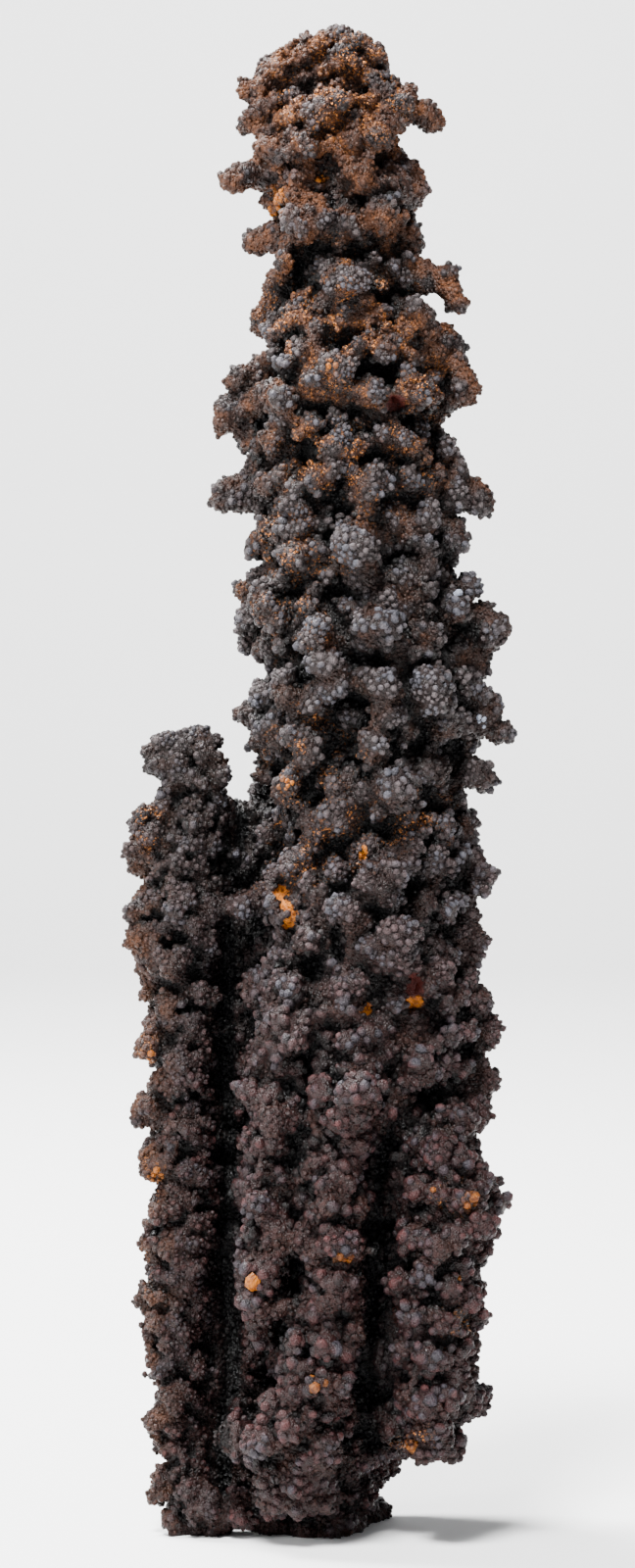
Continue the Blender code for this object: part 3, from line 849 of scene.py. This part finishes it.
def rust_at(points):
    """How rusty each place is, from its height and side."""
    height = points[:, 2] / MM
    rust = RUST_UPPER_SHARE * smooth_step(*RUST_UPPER, height)
    rust = rust + RUST_MIDDLE_SHARE * smooth_step(*RUST_MIDDLE, height)
    edge = RUST_EDGE_SHARE * smooth_step(*RUST_EDGE, -points[:, 0] / MM)
    edge = edge * (1.0 - smooth_step(*RUST_EDGE_TOP, height))
    return np.clip(rust + edge + RUST_LEAST, 0.0, 1.0)


def spaced_globules(surface, base, head_centres, chance):
    """Place, direction, radius and head of every globule, and how far it stands proud of the skin."""
    points, outward = scattered(surface, CANDIDATES, chance)
    proud = np.array([base.find_nearest(point)[3] for point in points]) / MM
    size = globule_size(zones(points, outward)) * (SUNK_SIZE + PROUD_GAIN * smooth_step(*PROUD_RISE, proud))
    size *= 1.0 + GLOBULE_SPREAD * chance.uniform(-1.0, 1.0, len(points))
    heads = tree_of_points(head_centres)
    coarse = chance.uniform(-1.0, 1.0, len(head_centres))
    owner = np.array([heads.find(point)[1] for point in points])
    size *= 1.0 + CLUSTER_SPREAD * coarse[owner]
    kept = well_apart(points, size * GLOBULE_SPACING)
    kept = kept[patch_distance(points[kept], outward[kept], OCHRE_PITS + RED_PITS) > 1.0]
    return tuple(part[kept] for part in (points, outward, size, proud, owner))


def globule_places(surface, tree, base, head_centres, shades, chance):
    """Every globule: its place, direction and radius, and what its colour depends on."""
    points, outward, size, proud, owner = spaced_globules(surface, base, head_centres, chance)
    near, far = openness_at(tree, points, outward, chance)
    shown = near > LEAST_OPENNESS
    parts = (points, outward, size, proud, near, far, owner)
    points, outward, size, proud, near, far, owner = (part[shown] for part in parts)
    head_shade = shades[owner]
    clean = clean_at(points, proud, head_shade)
    top = zones(points, outward)["top"]
    grainy = inside_at(points, outward, GRAINY_PLACES, GRAINY_EDGE)
    marks = {
        # openness and room drive the painted shade of hollows, lifted a little at the top
        "openness": near + TOP_LIFT * top,
        "room": far + TOP_LIFT * top,
        "proud": proud,
        "chance": chance.random(len(points)),
        "head_shade": head_shade,
        "rust": rust_at(points) * (1.0 - CLEAN_OF_RUST * clean),
        "grainy": grainy * (1.0 - CLEAN_OF_GRAINS * clean),
        # painted shade in the clefts and on the short stalactite
        "shade": shade_at(points, outward),
        "ochre": inside_at(points, outward, OCHRE_PLACES, OCHRE_EDGE),
        # painted glints of small crystal faces
        "painted_glint": inside_at(points, outward, PAINTED_GLINT_PLACES, PAINTED_GLINT_EDGE),
    }
    return points, outward, size, marks


def put(mesh, name, values):
    """Store one number for each vertex."""
    layer = mesh.attributes.new(name, "FLOAT", "POINT")
    layer.data.foreach_set("value", np.ascontiguousarray(values, dtype=np.float32))


def uv_layer(mesh, corners):
    """Store a map coordinate for each corner of each face."""
    layer = mesh.uv_layers.new(name="OFBake")
    layer.data.foreach_set("uv", np.ascontiguousarray(corners, dtype=np.float32).ravel())


def dome_map(mesh, template, count):
    """Each dome has its own square cell, with its tip in the middle."""
    vertices, triangles = template
    cells = math.ceil(math.sqrt(count))
    ring = np.arccos(np.clip(vertices[:, 2], -1.0, 1.0)) / math.acos(DOME_RINGS[-1])
    turn = np.arctan2(vertices[:, 1], vertices[:, 0])
    flat = np.stack([ring * np.cos(turn), ring * np.sin(turn)], axis=1) * MAP_FILL
    middle = np.stack([np.arange(count) % cells, np.arange(count) // cells], axis=1) + 0.5
    uv_layer(mesh, (middle[:, None, None, :] + flat[triangles][None]) / cells)


def face_map(mesh, count):
    """Each pair of faces shares one square cell, one in each corner."""
    cells = math.ceil(math.sqrt((count + 1) // 2))
    low, high, gap = FACE_LOW, FACE_HIGH, FACE_GAP
    first = np.array([(low, low), (high, low), (low, high)])
    second = np.array([(high + gap, high + gap), (low + gap, high + gap), (high + gap, low + gap)])
    shape = np.stack([first, second])[np.arange(count) % 2]
    cell = np.arange(count) // 2
    origin = np.stack([cell % cells, cell // cells], axis=1)
    uv_layer(mesh, (origin[:, None, :] + shape) / cells)


def sector_of(centres):
    """The number of the side that each globule belongs to, with as many globules on each side."""
    angle = np.degrees(np.arctan2(centres[:, 1] - TURN_Y, centres[:, 0] - TURN_X)) % 360.0
    rank = np.argsort(np.argsort((angle - FIRST_ANGLE) % 360.0))
    return rank * len(SECTORS) // len(rank)


def globule_pieces(points, outward, size, marks, chance):
    """The globules as domes, in one piece for each side of the specimen."""
    centres = points - outward * (GLOBULE_SINK * size)[:, None]
    template = dome_template(DOME_SIDES, DOME_RINGS)
    made, _ = copies(template, centres, outward, size, chance, DOME_ROUGHNESS, DOME_SQUEEZE)
    made[:, 2] = np.maximum(made[:, 2], 0.0)
    per = len(template[0])
    made = made.reshape(-1, per, 3)
    # The tip value runs from 0 at a dome's foot to 1 at its tip; the material uses it for painted shade low
    # on each globule
    tip = np.clip((template[0][:, 2] - DOME_RINGS[-1]) / (1.0 - DOME_RINGS[-1]), 0.0, 1.0)
    sector = sector_of(centres)
    items = []
    for number, name in enumerate(SECTORS):
        chosen = np.nonzero(sector == number)[0]
        faces = template[1][None] + (np.arange(len(chosen)) * per)[:, None, None]
        mesh = mesh_from("globules_" + name, made[chosen].reshape(-1, 3), faces.reshape(-1, 3))
        for mark, values in marks.items():
            put(mesh, mark, np.repeat(values[chosen], per))
        put(mesh, "tip", np.tile(tip, len(chosen)))
        dome_map(mesh, template, len(chosen))
        items.append(placed_object("globules_" + name, mesh))
    return items


def crust_piece(crust, points, marks):
    """The crust between the globules, which takes its marks from the nearest one."""
    vertices, triangles, normals = mesh_arrays(crust)
    vertices[:, 2] = np.maximum(vertices[:, 2], 0.0)
    mesh = mesh_from("crust_bed", vertices, triangles)
    near = tree_of_points(points)
    nearest = [near.find(vertex)[1] for vertex in vertices]
    # openness and room carry the painted shade of hollows onto the crust
    for mark in ("openness", "room", "rust", "grainy"):
        put(mesh, mark, marks[mark][nearest])
    # painted shade in the clefts and on the short stalactite
    put(mesh, "shade", shade_at(vertices, normals))
    face_map(mesh, len(triangles))
    return placed_object("crust_bed", mesh)


def specimen_pieces():
    """All pieces of the specimen, and the CAD solid for casting rays."""
    chance = np.random.default_rng(SEED)
    grown, base, head_centres, shades, solid = grown_crust(chance)
    surface = mesh_arrays(grown)
    tree = ray_tree(surface[0], surface[1])
    crust = thinned(grown, CRUST_TRIANGLES)
    points, outward, size, marks = globule_places(surface, tree, base, head_centres, shades, chance)
    items = globule_pieces(points, outward, size, marks, chance)
    items.append(crust_piece(crust, points, marks))
    return items, solid


def feed(tree, socket, value):
    """Link a node's output to a socket, or set the socket's own value."""
    if isinstance(value, bpy.types.NodeSocket):
        tree.links.new(value, socket)
    else:
        socket.default_value = value


def mapped(tree, source, low, high, to_low=0.0, to_high=1.0):
    """A value mapped from one range to another and kept within it."""
    node = tree.nodes.new("ShaderNodeMapRange")
    node.inputs["From Min"].default_value = low
    node.inputs["From Max"].default_value = high
    node.inputs["To Min"].default_value = to_low
    node.inputs["To Max"].default_value = to_high
    tree.links.new(source, node.inputs["Value"])
    return node.outputs["Result"]


def attribute(tree, name):
    """A number stored on the mesh."""
    node = tree.nodes.new("ShaderNodeAttribute")
    node.attribute_name = name
    return node.outputs["Fac"]


def object_place(tree):
    """The place of a point on the specimen."""
    return tree.nodes.new("ShaderNodeTexCoord").outputs["Object"]


def mixed(tree, factor, first, second, blend="MIX"):
    """Two colours mixed, or blended in another way."""
    node = tree.nodes.new("ShaderNodeMix")
    node.data_type = "RGBA"
    node.blend_type = blend
    values = {"Factor": factor, "A": first, "B": second}
    for socket in node.inputs:
        if socket.enabled:
            feed(tree, socket, values[socket.name])
    return next(socket for socket in node.outputs if socket.enabled)


def math_node(tree, operation, first, second):
    """Two values taken together."""
    node = tree.nodes.new("ShaderNodeMath")
    node.operation = operation
    for socket, value in zip(node.inputs, (first, second)):
        feed(tree, socket, value)
    return node.outputs["Value"]


def product(tree, values):
    """All the values multiplied together."""
    total = values[0]
    for value in values[1:]:
        total = math_node(tree, "MULTIPLY", total, value)
    return total


def grey_of(tree, value):
    """A value as a grey colour."""
    node = tree.nodes.new("ShaderNodeCombineColor")
    for socket in node.inputs:
        tree.links.new(value, socket)
    return node.outputs["Color"]


def dimmed(tree, colour, value):
    """A colour made darker or lighter by a value."""
    return mixed(tree, 1.0, colour, grey_of(tree, value), "MULTIPLY")


def noise_at(tree, scale, detail):
    """Smooth noise over the specimen."""
    node = tree.nodes.new("ShaderNodeTexNoise")
    node.inputs["Scale"].default_value = scale
    node.inputs["Detail"].default_value = detail
    tree.links.new(object_place(tree), node.inputs["Vector"])
    return node.outputs["Fac"]


def cells_at(tree, scale):
    """Small cells over the specimen."""
    node = tree.nodes.new("ShaderNodeTexVoronoi")
    node.inputs["Scale"].default_value = scale
    tree.links.new(object_place(tree), node.inputs["Vector"])
    return node


def height_mm(tree):
    """The height above the foot in millimetres."""
    split = tree.nodes.new("ShaderNodeSeparateXYZ")
    tree.links.new(object_place(tree), split.inputs["Vector"])
    return math_node(tree, "MULTIPLY", split.outputs["Z"], 1.0 / MM)


def pit_mask(tree, pits, solid):
    """1 inside the pits of the front, 0 elsewhere, with a wobbly edge."""
    place = object_place(tree)
    wobble = mapped(tree, noise_at(tree, *WOBBLE_NOISE), *WOBBLE)
    total = 0.0
    for column, row, half_width, half_height, lean in pits:
        middle = solid.ray_cast(Vector(CAMERA_PLACE), front_ray(column, row))[0]
        node = tree.nodes.new("ShaderNodeMapping")
        node.vector_type = "TEXTURE"
        node.inputs["Location"].default_value = middle
        node.inputs["Rotation"].default_value = (0.0, math.radians(lean), 0.0)
        node.inputs["Scale"].default_value = (half_width * PIXEL, PATCH_DEPTH, half_height * PIXEL)
        tree.links.new(place, node.inputs["Vector"])
        length = tree.nodes.new("ShaderNodeVectorMath")
        length.operation = "LENGTH"
        tree.links.new(node.outputs["Vector"], length.inputs[0])
        wobbly = math_node(tree, "ADD", length.outputs["Value"], wobble)
        total = math_node(tree, "MAXIMUM", mapped(tree, wobbly, *PIT_COLOUR_EDGE, 1.0, 0.0), total)
    return total


def head_and_shade_share(tree, is_globule, openness):
    """How much a place takes the light colour of the grey heads: less where it lies low, and less in
    recesses, which is painted shade; on the crust it follows openness alone, as painted shade.
    """
    if not is_globule:
        return mapped(tree, openness, *BED_OPEN_SHADE)
    return product(tree, [
        mapped(tree, attribute(tree, "proud"), *HEAD_PROUD),
        mapped(tree, openness, *HEAD_OPEN_SHADE),
        mapped(tree, attribute(tree, "chance"), *HEAD_CHANCE),
        mapped(tree, attribute(tree, "head_shade"), *HEAD_SHADE),
    ])


def stone_colour(tree, head, openness, broad, patches):
    """Dark ground and light heads, reddish and bluish, with the dark colour also standing in as painted
    shade in recesses, and brown where there is rust.
    """
    mid = mapped(tree, height_mm(tree), *MID_HEIGHT)
    bluish = mapped(tree, broad, *BLUISH_BROAD)
    dark = mixed(tree, mid, DARK_LOW, DARK_MID)
    light_low = mixed(tree, bluish, REDDISH_LOW, BLUISH_LOW)
    light_mid = mixed(tree, bluish, REDDISH_MID, BLUISH_MID)
    clean = mixed(tree, head, dark, mixed(tree, mid, light_low, light_mid))
    brown = mixed(tree, mapped(tree, broad, *BROWN_BROAD), BROWN_DARK, BROWN_LIGHT)
    rusty = product(tree, [
        mapped(tree, patches, *RUST_PATCHES),
        attribute(tree, "rust"),
        mapped(tree, openness, *RUST_OPEN),
    ])
    return mixed(tree, rusty, clean, brown)


def shaded(tree, base, is_globule, openness, fine):
    """The colour with fine random unevenness, and with painted shade in hollows, in the clefts, on the short
    stalactite and low on each globule.
    """
    base = dimmed(tree, base, mapped(tree, fine, *SHADE_FINE))
    # Painted shade in hollows, from how closed in each place is near by and far around
    base = dimmed(tree, base, mapped(tree, openness, *SHADE_OPEN))
    base = dimmed(tree, base, mapped(tree, attribute(tree, "room"), *SHADE_ROOM))
    # Painted shade in the clefts and on the short stalactite
    base = dimmed(tree, base, attribute(tree, "shade"))
    if is_globule:
        # Painted shade low on each globule, lighter towards its tip
        base = dimmed(tree, base, mapped(tree, attribute(tree, "tip"), *SHADE_TIP))
    return base


def grain_share(tree, head, openness, broad):
    """1 on the fine coppery grains, 0 between them."""
    apart = tree.nodes.new("ShaderNodeSeparateColor")
    tree.links.new(cells_at(tree, GRAIN_CELLS).outputs["Color"], apart.inputs["Color"])
    return product(tree, [
        mapped(tree, apart.outputs["Red"], *GRAIN_PICK),
        attribute(tree, "grainy"),
        mapped(tree, broad, *GRAIN_BROAD),
        mapped(tree, openness, *GRAIN_OPEN),
        mapped(tree, head, *GRAIN_HEAD),
    ])


def marked(tree, base, is_globule, fine, patches, solid):
    """The colour with the ochre and red places, and the painted glints of small crystal faces."""
    ochre = mixed(tree, mapped(tree, fine, *OCHRE_FINE), OCHRE_DARK, OCHRE_LIGHT)
    if is_globule:
        tinted = math_node(tree, "MULTIPLY", attribute(tree, "ochre"), mapped(tree, patches, *OCHRE_PATCHES))
        base = mixed(tree, tinted, base, ochre)
        # Painted glints: pale bluish patches standing in for the highlight of small crystal faces
        return mixed(tree, attribute(tree, "painted_glint"), base, PAINTED_GLINT)
    base = mixed(tree, pit_mask(tree, RED_PITS, solid), base, DEEP_RED)
    return mixed(tree, pit_mask(tree, OCHRE_PITS, solid), base, ochre)


def relief(tree):
    """Fine bumps, one for each small cell."""
    bump = tree.nodes.new("ShaderNodeBump")
    bump.inputs["Strength"].default_value = RELIEF_STRENGTH
    bump.inputs["Distance"].default_value = RELIEF_HEIGHT
    hill = mapped(tree, cells_at(tree, RELIEF_CELLS).outputs["Distance"], *HILL)
    tree.links.new(hill, bump.inputs["Height"])
    return bump.outputs["Normal"]


def stone_material(name, is_globule, solid):
    """The stone of the globules, or of the crust between them."""
    material = bpy.data.materials.new(name)
    material.use_nodes = True
    tree = material.node_tree
    shader = tree.nodes["Principled BSDF"]
    openness = attribute(tree, "openness")
    patches = noise_at(tree, *PATCHES_NOISE)
    broad = noise_at(tree, *BROAD_NOISE)
    fine = noise_at(tree, *FINE_NOISE)
    # The light head share carries painted shade: it falls in recesses
    head = head_and_shade_share(tree, is_globule, openness)
    base = stone_colour(tree, head, openness, broad, patches)
    base = shaded(tree, base, is_globule, openness, fine)
    grain = grain_share(tree, head, openness, broad)
    base = mixed(tree, grain, base, COPPER)
    rough = math_node(
        tree, "SUBTRACT", mapped(tree, fine, *ROUGH_FINE), math_node(tree, "MULTIPLY", grain, GRAIN_POLISH)
    )
    feed(tree, shader.inputs["Base Color"], marked(tree, base, is_globule, fine, patches, solid))
    feed(tree, shader.inputs["Metallic"], math_node(tree, "MULTIPLY", grain, GRAIN_METAL))
    feed(tree, shader.inputs["Specular IOR Level"], SPECULAR)
    feed(tree, shader.inputs["Roughness"], rough)
    feed(tree, shader.inputs["Normal"], relief(tree))
    return material


def floor_material():
    """A plain pale sheet."""
    material = bpy.data.materials.new("floor")
    material.use_nodes = True
    shader = material.node_tree.nodes["Principled BSDF"]
    shader.inputs["Base Color"].default_value = FLOOR_COLOUR
    shader.inputs["Roughness"].default_value = FLOOR_ROUGHNESS
    shader.inputs["Specular IOR Level"].default_value = FLOOR_SPECULAR
    return material


def studio():
    """A pale floor that curves up into a far wall, and soft light from the sky."""
    rows = []
    for depth, height in STUDIO_PROFILE:
        for side in (-1.0, 1.0):
            rows.append((side * STUDIO_HALF_WIDTH, depth, height))
    faces = []
    for row in range(len(STUDIO_PROFILE) - 1):
        start = row * 2
        faces.append((start, start + 1, start + 3))
        faces.append((start, start + 3, start + 2))
    sheet = placed_object("floor", mesh_from("floor", np.array(rows, float), np.array(faces)))
    sheet.data.materials.append(floor_material())
    world = bpy.data.worlds.new("studio")
    bpy.context.scene.world = world
    world.use_nodes = True
    world.node_tree.nodes["Background"].inputs["Color"].default_value = WORLD_COLOUR
    world.node_tree.nodes["Background"].inputs["Strength"].default_value = WORLD_STRENGTH


def lamps():
    """Soft square lamps."""
    for name, spot, aim, size, power in LAMPS:
        light = bpy.data.lights.new(name, "AREA")
        light.size = size
        light.energy = power
        item = placed_object(name, light)
        item.location = spot
        item.rotation_euler = (Vector(aim) - Vector(spot)).to_track_quat("-Z", "Y").to_euler()


def camera():
    """A level camera in front of the specimen."""
    data = bpy.data.cameras.new("camera")
    data.lens = LENS
    data.sensor_width = SENSOR
    item = placed_object("camera", data)
    item.location = CAMERA_PLACE
    item.rotation_euler = (math.radians(90.0), 0.0, 0.0)
    bpy.context.scene.camera = item


items, solid = specimen_pieces()
globule_stone = stone_material("globules", True, solid)
bed_stone = stone_material("bed", False, solid)
for item in items:
    item.data.materials.append(bed_stone if item.name == "crust_bed" else globule_stone)
    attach(item, "root")
    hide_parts(NODE)
studio()
lamps()
camera()
